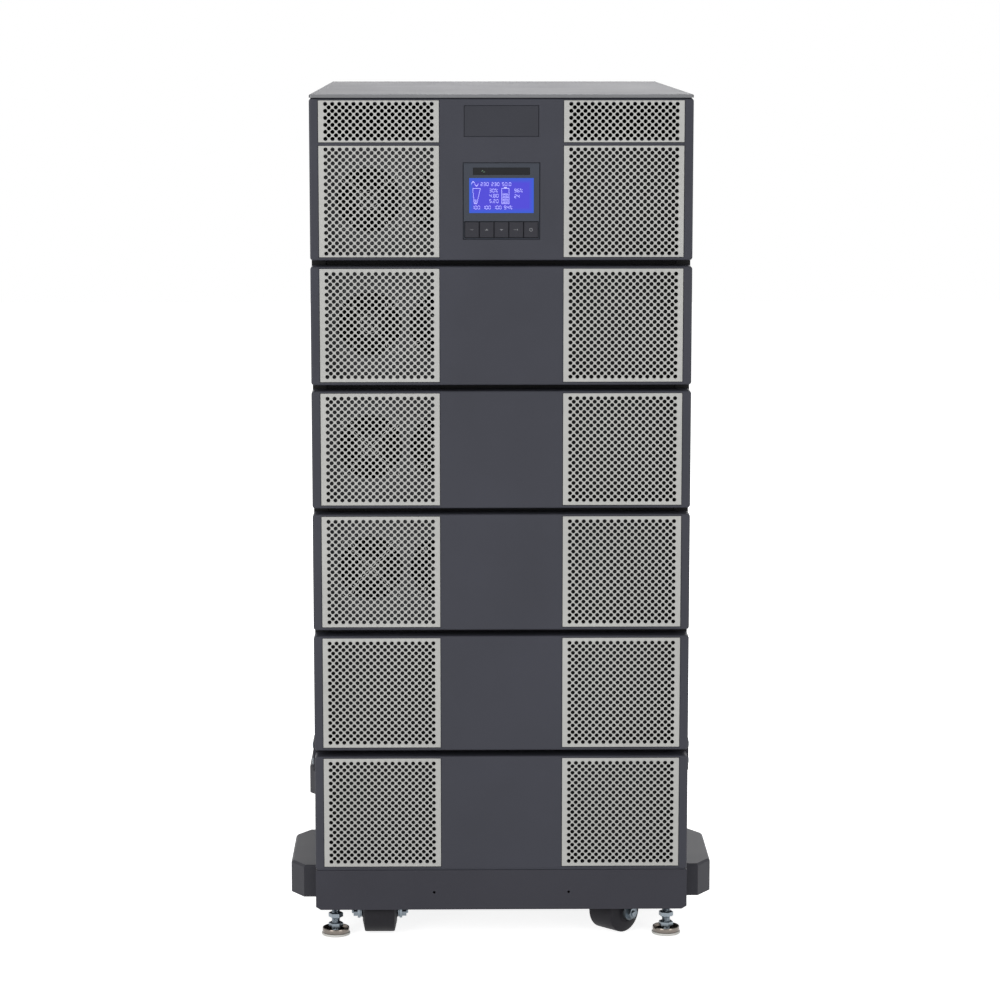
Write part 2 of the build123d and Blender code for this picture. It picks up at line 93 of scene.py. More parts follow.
# %% Shader class
class Flow:
    """One value that runs through a node tree. Arithmetic on it adds Math nodes."""

    def __init__(self, tree, socket):
        self.tree, self.socket = tree, socket

    def feed(self, target, value):
        """Links a Flow to an input socket, or sets a plain number or colour on it."""
        if isinstance(value, Flow):
            self.tree.links.new(value.socket, target)
        else:
            target.default_value = value

    def node(self, kind, inputs, result=0, **settings):
        """Adds a node of any kind: its settings first, then its inputs. Returns one of its outputs."""
        made = self.tree.nodes.new(kind)
        for key, value in settings.items():
            setattr(made, key, value)
        for key, value in inputs.items():
            self.feed(made.inputs[key], value)
        return Flow(self.tree, made.outputs[result])

    def math(self, operation, first, second=0.0):
        """Adds a Math node for two values."""
        return self.node("ShaderNodeMath", {0: first, 1: second}, operation=operation)

    def __add__(self, other):
        return self.math("ADD", self, other)

    def __sub__(self, other):
        return self.math("SUBTRACT", self, other)

    def __rsub__(self, other):
        return self.math("SUBTRACT", other, self)

    def __mul__(self, other):
        return self.math("MULTIPLY", self, other)

    def __truediv__(self, other):
        return self.math("DIVIDE", self, other)

    def __rtruediv__(self, other):
        return self.math("DIVIDE", other, self)

    def __abs__(self):
        return self.math("ABSOLUTE", self)

    __radd__, __rmul__ = __add__, __mul__

    def most(self, other):
        """The larger of two values."""
        return self.math("MAXIMUM", self, other)

    def axis(self, name):
        """One coordinate of a vector."""
        return self.node("ShaderNodeSeparateXYZ", {0: self}, "XYZ".index(name))

    def noise(self, scale, detail=2.0):
        """Smooth random values about 0.5, with scale waves to the metre."""
        return self.node("ShaderNodeTexNoise", {"Vector": self, "Scale": scale, "Detail": detail})

    def ramp(self, low, high):
        """0 below low, 1 above high and a straight line between."""
        return self.node("ShaderNodeMapRange", {0: self, 1: low, 2: high, 3: 0.0, 4: 1.0})

    def blend(self, first, second):
        """A colour that is first where this value is 0 and second where it is 1."""
        return self.node("ShaderNodeMix", {0: self, 6: first, 7: second}, 2, data_type="RGBA")

    def bump(self, height):
        """A normal bent by this value as a relief, height metres deep."""
        return self.node("ShaderNodeBump", {"Height": self, "Strength": 1.0, "Distance": height})


def direct_rays(tree):
    """1 for rays that show a surface to the eye, straight, by gloss or by glass, and 0 for all others."""
    path = tree.nodes.new("ShaderNodeLightPath")
    kinds = [Flow(tree, path.outputs["Is %s Ray" % kind]) for kind in ("Camera", "Glossy", "Transmission")]
    return kinds[0].most(kinds[1]).most(kinds[2])


def srgb(red, green, blue):
    """A display colour from 0 to 255 as the linear colour that a shader takes."""
    c = np.array([red, green, blue]) / 255
    linear = np.where(c <= 0.04045, c / 12.92, ((c + 0.055) / 1.055) ** 2.4)
    return (*linear.tolist(), 1.0)


print("shader arithmetic ready")

# %% [markdown]
# ## White studio
# The background of a product picture is plain white. A very bright world would do that, but it would
# also wash out the dark cabinet. So the world is white only to the eye and in reflections, and it sheds
# a lower, even light. The floor is treated in the same way, and keeps a faint part of the shadow.

# %% World
even_light = 0.45
world = bpy.data.worlds.new("studio")
scene.world = world
world.use_nodes = True
sky = world.node_tree
white_share = direct_rays(sky)
white_share.feed(sky.nodes["Background"].inputs["Color"], (1, 1, 1, 1))
white_share.feed(sky.nodes["Background"].inputs["Strength"], white_share * (1 - even_light) + even_light)
print("world: white to the eye, and", even_light, "of white as a light")

# %% Floor
floor_reach, floor_height, floor_glow = 8.0, -0.0006, 0.86
floor_mesh = bpy.data.meshes.new("floor")
unit_square = np.array([[-1, -1, 0], [1, -1, 0], [1, 1, 0], [-1, 1, 0]])
floor_corners = unit_square * floor_reach + [0, 0, floor_height]
floor_mesh.from_pydata(floor_corners.tolist(), [], [(0, 1, 2, 3)])
floor = bpy.data.objects.new("floor", floor_mesh)
scene.collection.objects.link(floor)
floor_paper = bpy.data.materials.new("floor_paper")
floor_paper.use_nodes = True
paper = floor_paper.node_tree.nodes["Principled BSDF"]
paper.inputs["Base Color"].default_value = srgb(214, 214, 214)
paper.inputs["Roughness"].default_value = 0.95
paper.inputs["Specular IOR Level"].default_value = 0.1
paper.inputs["Emission Strength"].default_value = 1.0
to_eye = direct_rays(floor_paper.node_tree)
glow_colour = (floor_glow, floor_glow, floor_glow, 1)
to_eye.feed(paper.inputs["Emission Color"], to_eye.blend((0, 0, 0, 1), glow_colour))
floor_mesh.materials.append(floor_paper)
print("floor", 2 * floor_reach, "m wide")

# %% [markdown]
# ## Lamps
# A cabinet like this is photographed between soft boxes. One sun lamp would be simpler, but it throws
# hard shadows into the holes of the grilles. So large area lamps stand for the boxes: one at each side
# of the camera, the left one stronger, one above, and one high behind for the rear. None stands where
# the top would mirror it to the camera.


# %% Lamps
def soft_box(name, place, aim, size, power):
    """A rectangular lamp at a place, its face turned to a point."""
    data = bpy.data.lights.new(name, "AREA")
    data.shape = "RECTANGLE"
    data.size, data.size_y = size
    data.energy = power
    lamp = bpy.data.objects.new(name, data)
    lamp.location = place
    x, y, z = np.subtract(aim, place)
    lamp.rotation_euler = (np.arctan2(np.hypot(x, y), -z), 0, np.arctan2(x, -y) + np.pi)
    scene.collection.objects.link(lamp)
    return lamp


lamps = [
    soft_box("left_box", (-1.8, -2.7, 1.3), (0, -0.3, 0.5), (1.4, 2.2), 46),
    soft_box("right_box", (1.9, -2.6, 1.0), (0, -0.3, 0.5), (1.2, 2.2), 26),
    soft_box("top_box", (0, 0.2, 2.8), (0, 0, 0.5), (2.2, 2.0), 30),
    soft_box("rear_box", (0.4, 3.2, 2.7), (0, 0.3, 0.6), (2.0, 1.2), 60),
]
print("lamps:", ", ".join(lamp.name for lamp in lamps))

# %% [markdown]
# ## Finishes
# A flat colour looks like a drawing. A real finish drifts a little in shade over a hand's width and has
# a relief that can be felt: moulded plastic has a close grain, powder paint a longer ripple, plated
# steel a fine brushed bloom. All of them fit one recipe, two noises that drive colour, roughness and
# bump, with other numbers for each. A few fronts differ from the rest of their piece: the flanges deep
# in the gaps between the bezels are black, a painted shade; the modules and fan frames show a grey
# face; and the front lip of the cover is lighter, a painted reflection. A second material would need a
# second slot, but the front of a piece is one plane, so its Y picks the colour. In the same way the
# height picks out the rim of the cover, which is smoother than its top.


# %% Finish recipe
drift_waves, drift_share = 9.0, 0.6
matt_drift, matt_grain = 0.06, 0.08
front_skin, front_fade = 0.0002, 0.001
rim_start, rim_end, rim_gloss = 0.0003, 0.0001, 0.35


def new_finish(name, **constant):
    """A Principled material with constants set, its shader, and object coordinates as a Flow."""
    made = bpy.data.materials.new(name)
    made.use_nodes = True
    shader = made.node_tree.nodes["Principled BSDF"]
    for key, value in constant.items():
        shader.inputs[key.replace("_", " ")].default_value = value
    place = made.node_tree.nodes.new("ShaderNodeTexCoord")
    return made, shader, Flow(made.node_tree, place.outputs["Object"])


def grained(name, dark, light, rough, waves, relief, front=None, gloss_under=None, **constant):
    """Shade = a share of a slow drift + the rest of the grain, which also makes the relief.

    The grain has waves to the metre, and the relief is in metres.
    With front, a pair of a Y and a colour, faces in that plane or before it take that colour.
    With gloss_under, a height, faces below it are smoother.
    """
    made, shader, place = new_finish(name, **constant)
    drift = place.noise(drift_waves, detail=3.0).ramp(0.35, 0.65)
    grain = place.noise(waves)
    shade = drift * drift_share + grain.ramp(0.3, 0.7) * (1 - drift_share)
    colour = shade.blend(dark, light)
    if front:
        front_y, front_colour = front
        behind = place.axis("Y").ramp(front_y + front_skin, front_y + front_fade)
        colour = behind.blend(front_colour, colour)
    shade.feed(shader.inputs["Base Color"], colour)
    matt = drift * matt_drift + grain * matt_grain + (rough - (matt_drift + matt_grain) / 2)
    if gloss_under:
        top = place.axis("Z").ramp(gloss_under - rim_start, gloss_under - rim_end)
        matt = matt * (top * (1 - rim_gloss) + rim_gloss)
    shade.feed(shader.inputs["Roughness"], matt)
    shade.feed(shader.inputs["Normal"], grain.bump(relief))
    return made


print("finish recipe:", drift_waves, "slow waves to the metre")

# %% Plastic, paint and metal
dull, soft, metal = {"Specular_IOR_Level": 0.2}, {"Specular_IOR_Level": 0.35}, {"Metallic": 1.0}
recipes = {
    "bezel": ("bezel_plastic", (53, 54, 61), (58, 59, 67), 0.50, 1500, 1.5e-5, dull),
    "grille": ("grille_paint", (168, 168, 165), (178, 178, 175), 0.50, 1900, 1.5e-5, soft),
    "chassis": ("chassis_paint", (47, 47, 54), (53, 53, 60), 0.48, 700, 1.0e-5, dull),
    "side": ("side_paint_and_painted_shade", (47, 47, 54), (53, 53, 60), 0.48, 700, 1.0e-5, dull),
    "cover": ("cover_paint_and_painted_reflection", (54, 54, 60), (60, 60, 66), 0.71, 900, 4.0e-6, {}),
    "shelf": ("shelf_black", (14, 14, 16), (20, 20, 22), 0.70, 700, 1.5e-5, dull),
    "outrigger": ("outrigger_plastic", (43, 43, 49), (51, 51, 57), 0.50, 900, 1.5e-5, dull),
    "module": ("module_steel", (20, 20, 22), (27, 27, 29), 0.60, 1200, 1.0e-5, dull),
    "battery": ("battery_front", (20, 20, 22), (27, 27, 29), 0.60, 1200, 1.0e-5, dull),
    "fan": ("fan_plastic", (12, 12, 13), (18, 18, 20), 0.50, 1400, 1.0e-5, dull),
    "rotor": ("rotor_plastic", (12, 12, 13), (18, 18, 20), 0.50, 1400, 1.0e-5, dull),
    "panel": ("panel_plastic", (53, 57, 65), (59, 63, 72), 0.46, 1800, 1.0e-5, dull),
    "badge": ("badge_plastic", (46, 47, 53), (51, 52, 59), 0.42, 1800, 1.0e-5, dull),
    "key": ("key_rubber", (40, 40, 46), (46, 46, 52), 0.55, 2200, 1.0e-5, dull),
    "window": ("status_window", (24, 25, 28), (29, 30, 33), 0.25, 900, 2.0e-6, dull),
    "rubber": ("wheel_rubber", (22, 21, 25), (31, 30, 35), 0.55, 500, 3.0e-5, dull),
    "sole": ("sole_nylon", (206, 205, 200), (220, 219, 214), 0.50, 800, 2.0e-5, soft),
    "nickel": ("cup_nickel", (104, 98, 92), (136, 128, 121), 0.22, 1600, 1.0e-5, metal),
    "zinc": ("zinc_plate", (108, 118, 127), (146, 154, 160), 0.30, 1400, 1.0e-5, metal),
    "wire": ("bright_wire", (140, 140, 139), (172, 172, 170), 0.30, 1500, 1.0e-5, metal),
}
module_face = (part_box("power_modules")[0].y, srgb(86, 87, 90))
fronts = {
    # The flange fronts deep in the bezel gaps are painted near-black: painted shade.
    "side": (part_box("side_panels_left")[0].y, srgb(9, 9, 10)),
    # The lighter front lip of the cover is a painted reflection of the bright studio.
    "cover": (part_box("top_cover")[0].y, srgb(112, 113, 116)),
    "module": module_face,
    "fan": module_face,
}
rims = {"cover": cad_high[2]}
finish = {}
for kind, (name, dark, light, rough, waves, relief, constant) in recipes.items():
    finish[kind] = grained(name, srgb(*dark), srgb(*light), rough, waves, relief,
                           fronts.get(kind), rims.get(kind), **constant)
print("finishes:", ", ".join(finish))

# %% [markdown]
# ## Display glow
# The display is lit from behind by lamps at its rim, so it is violet in the middle and bluer towards
# the edges. A picture file could hold that gradient. The distance from the middle, as a share of the
# half size, gives it at any size without one. The dots and signs glow too, but less, and a noise keeps
# them from looking printed.

# %% Display finishes
screen_low, screen_high = (np.array(corner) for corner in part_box("lcd_screen"))
screen_middle, screen_half = (screen_low + screen_high) / 2, (screen_high - screen_low) / 2
lcd, shader, place = new_finish("lcd_glow", Base_Color=(0.01, 0.01, 0.04, 1), Roughness=0.3, **dull)
side_rim, top_rim = 0.84, 0.70
sideways = abs((place.axis("X") - float(screen_middle[0])) / float(screen_half[0]))
upright = abs((place.axis("Z") - float(screen_middle[2])) / float(screen_half[2]))
rim = sideways.ramp(side_rim, 1.0).most(upright.ramp(top_rim, 1.0))
rim.feed(shader.inputs["Emission Color"], rim.blend(srgb(82, 74, 230), srgb(46, 100, 226)))
shader.inputs["Emission Strength"].default_value = 0.80
finish["lcd"] = lcd


def lit_mark(name, colour, strength, waves=700.0, dimmest=0.85):
    """A small mark whose glow runs from dimmest to full along a noise with waves to the metre."""
    made, shader, place = new_finish(name, Base_Color=colour, Roughness=0.6, **dull)
    level = place.noise(waves).ramp(0.2, 0.8)
    dimmer = tuple(dimmest * c for c in colour[:3]) + (1.0,)
    level.feed(shader.inputs["Emission Color"], level.blend(dimmer, colour))
    shader.inputs["Emission Strength"].default_value = strength
    return made


finish["dots"] = lit_mark("lcd_dots", srgb(182, 180, 240), 0.62)
finish["status"] = lit_mark("status_dots", srgb(112, 140, 118), 0.3)
# The key signs are plain, unlit marks; their faint glow is painted light.
finish["legend"] = lit_mark("key_legend", srgb(134, 135, 138), 0.2)
print("display", np.round(2000 * screen_half[[0, 2]], 1), "mm")

# %% [markdown]
# ## Dressing the solids
# Most solids already have the right shape, so they only take a finish. It could be set by hand, object
# by object. A list of what wears which finish is easier to check, and whatever it forgets is printed as
# bare. Solids that a finer piece replaces further on get a finish too.

# %% Dress the solids
tiers, key_numbers = range(1, 7), range(1, 6)
wheel_corners = ("front_left", "front_right", "rear_left", "rear_right")
wear = {
    "bezel": ["bezel_%d" % tier for tier in tiers],
    "grille": ["grilles_%d" % tier for tier in tiers],
    "chassis": ["base_tray", "rear_panels", "wiring_cover", "stacking_brackets"],
    "side": ["side_panels_left", "side_panels_right"],
    "cover": ["top_cover"],
    "shelf": ["tier_shelves"],
    "outrigger": ["outriggers_front", "outriggers_rear"],
    "module": ["power_modules"],
    "battery": ["battery_modules"],
    "fan": ["fans"],
    "panel": ["display_housing"],
    "badge": ["badge_plate"],
    "lcd": ["lcd_screen"],
    "window": ["status_bar"],
    "key": ["key_%d" % number for number in key_numbers],
    "zinc": ["levelling_feet", "caster_plates"] + ["caster_fork_" + corner for corner in wheel_corners],
    "rubber": ["caster_wheel_" + corner for corner in wheel_corners],
}
for kind, names in wear.items():
    for name in names:
        nodes[name].data.materials.clear()
        nodes[name].data.materials.append(finish[kind])
bare = set(nodes).difference(*wear.values())
print("dressed", len(nodes) - len(bare), "solids, bare:", sorted(bare))

# %% [markdown]
# ## Tools for surfaces
# Blender has primitives and modifiers, but a piece that is one formula is easier to get exactly right.
# A surface is a block of points with two indices; turning the indices into quads is the same for every
# piece, so it is written once, and each piece is then only the formula for its points.


# %% Skins
def quads(rows, columns, wrap_rows=False):
    """Corner numbers of the quads of a block of points whose columns close into rings."""
    r = np.arange(rows if wrap_rows else rows - 1)[:, None]
    c = np.arange(columns)[None, :]
    next_r, next_c = (r + 1) % rows, (c + 1) % columns
    here, beyond = r * columns, next_r * columns
    return np.stack([here + c, here + next_c, beyond + next_c, beyond + c], -1).reshape(-1, 4)


def outward(points, faces):
    """The same closed surface with its faces turned outward, judged by the sign of the volume inside."""
    p = points - points.mean(0)
    volume = sum(np.sum(p[f[:, :1]] * np.cross(p[f[:, 1:-1]], p[f[:, 2:]])) for f in faces)
    return points, faces if volume > 0 else [f[:, ::-1] for f in faces]


def tube(rings):
    """A closed skin over rings of points, an array (ring, point, 3), with a flat cap at each end."""
    count, sides = rings.shape[:2]
    first, last = np.arange(sides)[None, ::-1], (count - 1) * sides + np.arange(sides)[None, :]
    return outward(rings.reshape(-1, 3), [quads(count, sides), first, last])


def turned(profile, sides=48):
    """A profile of (radius, height) points turned round the upright axis, with flat caps at its ends."""
    r, z = np.array(profile).T[:, :, None]
    t = np.linspace(0, 2 * np.pi, sides, endpoint=False)
    return tube(np.stack([r * np.cos(t), r * np.sin(t), z + 0 * t], -1))


print("skins: a tube over rings and a turned profile")


# %% From parts to pieces
def joined(parts):
    """Several parts as one, the corner numbers moved along."""
    counts = np.cumsum([0] + [len(points) for points, _ in parts])
    points = np.concatenate([points for points, _ in parts])
    return points, [face + start for (_, faces), start in zip(parts, counts) for face in faces]


def placed(part, turn=0.0, move=(0.0, 0.0, 0.0)):
    """The same part turned about the upright axis and then moved."""
    points, faces = part
    c, s = np.cos(turn), np.sin(turn)
    return points @ np.array([[c, s, 0], [-s, c, 0], [0, 0, 1]]) + np.array(move), faces


def piece(name, part, kind, body="cabinet", smooth=35.0):
    """A mesh object from a part, with its finish, riding on a body of the frame."""
    points, faces = part
    sizes = np.concatenate([np.full(len(f), f.shape[1]) for f in faces])
    corners = np.concatenate([f.ravel() for f in faces])
    mesh = bpy.data.meshes.new(name)
    mesh.vertices.add(len(points))
    mesh.vertices.foreach_set("co", points.ravel())
    mesh.loops.add(len(corners))
    mesh.loops.foreach_set("vertex_index", corners)
    mesh.polygons.add(len(sizes))
    mesh.polygons.foreach_set("loop_start", np.cumsum(sizes) - sizes)
    mesh.update(calc_edges=True)
    mesh.validate()
    mesh.polygons.foreach_set("use_smooth", np.ones(len(sizes), bool))
    mesh.set_sharp_from_angle(angle=np.radians(smooth))
    mesh.materials.append(finish[kind])
    made = bpy.data.objects.new(name, mesh)
    scene.collection.objects.link(made)
    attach(made, body)
    print(name, len(sizes), "faces")
    return made


print("pieces: parts are joined, placed, finished and set on a body")

# %% [markdown]
# ## Perforated grilles
# The silver sheets are punched with round holes in two interleaved grids. A Boolean cut of 481 holes is
# slow and leaves ragged triangles. But every hole owns the lozenge that reaches half way to its
# neighbours, so a sheet is a tiling of lozenges, each with a ring of quads round its hole. At the edges
# the lozenges are halved or quartered, and a plain margin runs round them. Where only one face uses an
# edge, a wall joins the front to the back.


# %% Sheet tools
def pairs(x, z):
    """Points from two coordinates, either of which may be a single number."""
    return np.stack(np.broadcast_arrays(x, z), -1)


def strip(x_low, x_high, z_low, z_high):
    """A row of rectangles as polygons."""
    corners = (x_low, z_low), (x_high, z_low), (x_high, z_high), (x_low, z_high)
    return np.stack([pairs(x, z) for x, z in corners], 1)


def welded(polygons):
    """Polygons given by their corners as shared points and corner numbers."""
    corners = np.concatenate([p.reshape(-1, 2) for p in polygons])
    points, again = np.unique(np.round(corners, 7), axis=0, return_inverse=True)
    counts = np.cumsum([0] + [p.shape[0] * p.shape[1] for p in polygons])
    again = again.reshape(-1)
    return points, [again[a:b].reshape(p.shape[:2]) for p, a, b in zip(polygons, counts, counts[1:])]


def thickened(points, faces, front, back):
    """A flat pattern in XZ as a solid: front, reversed back, and a wall on each edge with only one face."""
    count = len(points)
    start = np.concatenate([f.ravel() for f in faces])
    end = np.concatenate([np.roll(f, -1, 1).ravel() for f in faces])
    lone = ~np.isin(start * count + end, end * count + start)
    walls = np.stack([end[lone], start[lone], start[lone] + count, end[lone] + count], -1)
    sheets = [np.insert(points, 1, depth, axis=1) for depth in (front, back)]
    return outward(np.concatenate(sheets), faces + [f[:, ::-1] + count for f in faces] + [walls])


print("sheet tools: polygons are welded and thickened")

# %% Hole pattern
hole_pitch, hole_radius = np.array([0.00806, 0.00790]), 0.00243
side_steps = 3
ring_steps = 4 * side_steps
ring = np.arange(ring_steps)
tips = np.array([[1, 0], [0, 1], [-1, 0], [0, -1]])
side, share = ring // side_steps, (ring % side_steps / side_steps)[:, None]
lozenge = hole_pitch / 2 * (tips[side] * (1 - share) + tips[(side + 1) % 4] * share)
ring_angle = 2 * np.pi * ring / ring_steps
circle = hole_radius * pairs(np.cos(ring_angle), np.sin(ring_angle))
cell = np.stack([lozenge, np.roll(lozenge, -1, 0), np.roll(circle, -1, 0), circle], 1)


def lattice(columns, rows):
    """Grid points one pitch apart, centred on zero."""
    i, j = np.meshgrid(np.arange(columns), np.arange(rows), indexing="ij")
    return (pairs(i, j).reshape(-1, 2) - np.array([columns - 1, rows - 1]) / 2) * hole_pitch


def perforated(low, high, columns, rows):
    """Polygons of a sheet with columns by rows holes, and a second grid of holes between them."""
    middle = (low + high) / 2
    reach = np.array([columns, rows]) * hole_pitch / 2
    (x0, z0), (x1, z1) = middle - reach, middle + reach
    holes = middle + np.concatenate([lattice(columns, rows), lattice(columns - 1, rows - 1)])
    polygons = [(holes[:, None, None] + cell).reshape(-1, 4, 2)]
    x = np.linspace(x0, x1, columns + 1)
    z = np.linspace(z0, z1, rows + 1)
    inner_x, inner_z = x[1:-1], z[1:-1]
    edges = pairs(x0, inner_z), pairs(inner_x, z0), pairs(x1, inner_z), pairs(inner_x, z1)
    for side, spots in enumerate(edges):
        half = lozenge[((side + 3) * side_steps + np.arange(2 * side_steps + 1)) % ring_steps]
        polygons.append(spots[:, None] + half)
    for side, spot in enumerate(((x0, z0), (x1, z0), (x1, z1), (x0, z1))):
        quarter = lozenge[(side * side_steps + np.arange(side_steps + 1)) % ring_steps]
        polygons.append(np.concatenate([[spot], np.array(spot) + quarter])[None])
    edge_x = np.concatenate([[x0], (x[1:] + x[:-1]) / 2, [x1]])
    edge_z = np.concatenate([[low[1], z0], (z[1:] + z[:-1]) / 2, [z1, high[1]]])
    polygons.append(strip(low[0], x0, edge_z[:-1], edge_z[1:]))
    polygons.append(strip(x1, high[0], edge_z[:-1], edge_z[1:]))
    polygons.append(strip(edge_x[:-1], edge_x[1:], low[1], z0))
    polygons.append(strip(edge_x[:-1], edge_x[1:], z1, high[1]))
    return polygons


print("holes", 2000 * hole_radius, "mm wide,", 1000 * hole_pitch, "mm apart in each grid")

# %% Grilles of every tier
sheet_width, head_sheet, head_strip, sheet_gap = 0.1378, 0.1273, 0.0478, 0.0003
hole_columns, tall_rows, strip_rows = 16, 16, 6
for tier in tiers:
    low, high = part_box("grilles_%d" % tier)
    bands = [(low.z, high.z, tall_rows)]
    if tier == 1:
        bands = [(low.z, low.z + head_sheet, tall_rows), (high.z - head_strip, high.z, strip_rows)]
    sheets = []
    for left in (low.x, high.x - sheet_width):
        for bottom, top, rows in bands:
            corner, far_corner = np.array([left, bottom]), np.array([left + sheet_width, top])
            flat = welded(perforated(corner + sheet_gap, far_corner - sheet_gap, hole_columns, rows))
            sheets.append(thickened(*flat, low.y, high.y))
    grille = piece("perforated_sheets_%d" % tier, joined(sheets), "grille")
    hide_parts("grilles_%d" % tier)

# %% [markdown]
# ## Fans behind the left grilles
# Two fans sit side by side in each power module and show as dark rounds through the holes. CAD has the
# frame, bore and hub, and the rotor is added here: seven blades round a flat turned cap. A blade could
# be a bent plane with a Solidify modifier, but its edges would be blunt. Here it is a thin aerofoil
# section that is carried outward from the hub while it turns flatter, so the radius and the way round
# the section are its two parameters.


# %% Fan blades
def fan_blade(turn, hub=0.0168, tip=0.0362, depth=0.017, thick=0.0016, sweep=9.0, wrap=0.72, wrap_loss=8.0):
    """A blade: s = (1 - cos u) / 2 runs along the chord as u goes once round the section.

    The angle and the depth grow with s, and sin u gives the thickness. Every metre outward from the hub
    adds sweep to the angle and takes wrap_loss from the wrap.
    """
    r = np.linspace(hub, tip, 7)[:, None]
    u = np.linspace(0, 2 * np.pi, 14, endpoint=False)[None, :]
    s = (1 - np.cos(u)) / 2
    angle = turn + sweep * (r - hub) + (s - 0.5) * (wrap - wrap_loss * (r - hub))
    across = (s - 0.5) * depth + thick / 2 * np.sin(u) + 0 * r
    return tube(np.stack([r * np.cos(angle), across, r * np.sin(angle)], -1))


blade_count, blade_middle, fan_side, fan_lift = 7, 0.0115, 0.080, 0.067
fan_low, fan_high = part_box("fans")
fan_tiers = tiers[:4]
fan_x = (fan_low.x + fan_side / 2, fan_high.x - fan_side / 2)
fan_spots = {
    tier: [(x, fan_low.y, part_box("bezel_%d" % tier)[0].z + fan_lift) for x in fan_x]
    for tier in fan_tiers
}
cap_profile = [(0.0172, 0), (0.0172, -0.0004), (0.0160, -0.0014), (0.0120, -0.0018), (0.0004, -0.0019)]
cap_points, cap_faces = turned(cap_profile)
rotor_cap = outward(cap_points[:, [0, 2, 1]] - [0, blade_middle, 0], cap_faces)
turns = np.arange(blade_count) * 2 * np.pi / blade_count
rotor = joined([rotor_cap] + [fan_blade(turn) for turn in turns])
for tier, spots in fan_spots.items():
    rotors = [placed(rotor, move=(x, y + blade_middle, z)) for x, y, z in spots]
    piece("fan_blades_%d" % tier, joined(rotors), "rotor", smooth=60)

# %% [markdown]
# A bright wire guard is clipped over each fan: two crossed wires with an eyelet at every end and a
# small ring at the centre. A wire is a circle carried along a path. A curve with a bevel could do the
# same, but a worked-out tube exports as it stands.


# %% Fan guards
def wire(path, radius, closed=False, sides=8):
    """A round wire in the XZ plane: ring k of points stands square to the path at its point k."""
    along = np.roll(path, -1, 0) - np.roll(path, 1, 0) if closed else np.gradient(path, axis=0)
    along = along / np.linalg.norm(along, axis=1, keepdims=True)
    side = np.cross(along, [0, 1, 0])
    t = np.linspace(0, 2 * np.pi, sides, endpoint=False)[None, :, None]
    rings = path[:, None] + radius * (np.cos(t) * side[:, None] + np.sin(t) * np.array([0, 1, 0]))
    if closed:
        return outward(rings.reshape(-1, 3), [quads(len(path), sides, wrap_rows=True)])
    return tube(rings)


def fan_guard(reach=0.029, eyelet=(0.0085, 0.0052), centre_ring=0.010, radius=0.0006):
    """Wires along both diagonals, an ellipse beyond each end, and a ring that ties them at the centre."""
    t = np.linspace(0, 2 * np.pi, 32, endpoint=False)[:, None]
    round_path = np.hstack([centre_ring * np.cos(t), 0 * t - 2 * radius, centre_ring * np.sin(t)])
    wires = [wire(round_path, radius, closed=True)]
    for slope in (1, -1):
        along = np.array([1, 0, slope]) / np.sqrt(2)
        across = np.array([-slope, 0, 1]) / np.sqrt(2)
        wires.append(wire(np.linspace(-reach, reach, 12)[:, None] * along, radius))
        for end in (-1, 1):
            centre = end * (reach + eyelet[0]) * along
            loop = centre + eyelet[0] * np.cos(t) * along + eyelet[1] * np.sin(t) * across
            wires.append(wire(loop, radius, closed=True))
    return joined(wires)


guard, guard_stand = fan_guard(), 0.0022
for tier, spots in fan_spots.items():
    guards = [placed(guard, move=(x, y - guard_stand, z)) for x, y, z in spots]
    piece("fan_guards_%d" % tier, joined(guards), "wire", smooth=60)

# %% [markdown]
# ## Display marks
# The display is a matrix of square dots. Text objects would bring a font and thousands of thin faces.
# Here a canvas of true and false cells is drawn with a few rules, numbers from seven strokes, a sine
# sign, a wedge for the load and a battery, and every true cell becomes a thin square tile.


# %% Dot canvas
def tiles(canvas, centre, dot, face, thick=0.00006, fill=0.86):
    """One thin box for each true cell, rows from the top, centred on a point, in front of a face."""
    row, column = np.nonzero(canvas)
    height, width = canvas.shape
    x = centre[0] + (column + 0.5 - width / 2) * dot[0]
    z = centre[1] - (row + 0.5 - height / 2) * dot[1]
    corner = np.array([[i, j, k] for j in (-1, 0) for i, k in ((-1, -1), (1, -1), (1, 1), (-1, 1))])
    size = np.array([dot[0] * fill / 2, thick, dot[1] * fill / 2])
    points = np.stack([x, np.full(len(x), face), z], -1)[:, None] + corner * size
    box = np.array([[0, 1, 2, 3], [7, 6, 5, 4], [0, 4, 5, 1], [1, 5, 6, 2], [2, 6, 7, 3], [3, 7, 4, 0]])
    return outward(points.reshape(-1, 3), [(8 * np.arange(len(x))[:, None, None] + box).reshape(-1, 4)])


strokes = {"a": np.s_[0, 1:4], "b": np.s_[1:3, 4], "c": np.s_[4:6, 4], "d": np.s_[6, 1:4],
           "e": np.s_[4:6, 0], "f": np.s_[1:3, 0], "g": np.s_[3, 1:4]}
figures = {"0": "abcdef", "1": "bc", "2": "abged", "3": "abgcd", "4": "fgbc", "5": "afgcd", "6": "afgedc",
           "7": "abc", "8": "abcdefg", "9": "abcdfg"}
advance = {".": 2, "%": 7, " ": 4}


def write_number(canvas, text, row, column):
    """Draws figures of five by seven dots, points and percent signs from a row and column on."""
    for sign in text:
        area = canvas[row:row + 7, column:column + 6]
        for stroke in figures.get(sign, ""):
            area[:, :5][strokes[stroke]] = True
        if sign == ".":
            area[6, 0] = True
        if sign == "%":
            area[0:2, 0:2] = area[5:7, 3:5] = True
            area[np.arange(5, 0, -1), np.arange(5)] = True
        column += advance.get(sign, 6)


def sine_sign(canvas, row, column, width, height):
    """One period of a sine wave, two dots thick."""
    x = np.arange(width)
    y = np.round(row + height / 2 * (1 - np.sin(2 * np.pi * x / (width - 1)))).astype(int)
    canvas[y, column + x] = canvas[y + 1, column + x] = True


print("figures of 5 by 7 dots:", " ".join(figures))

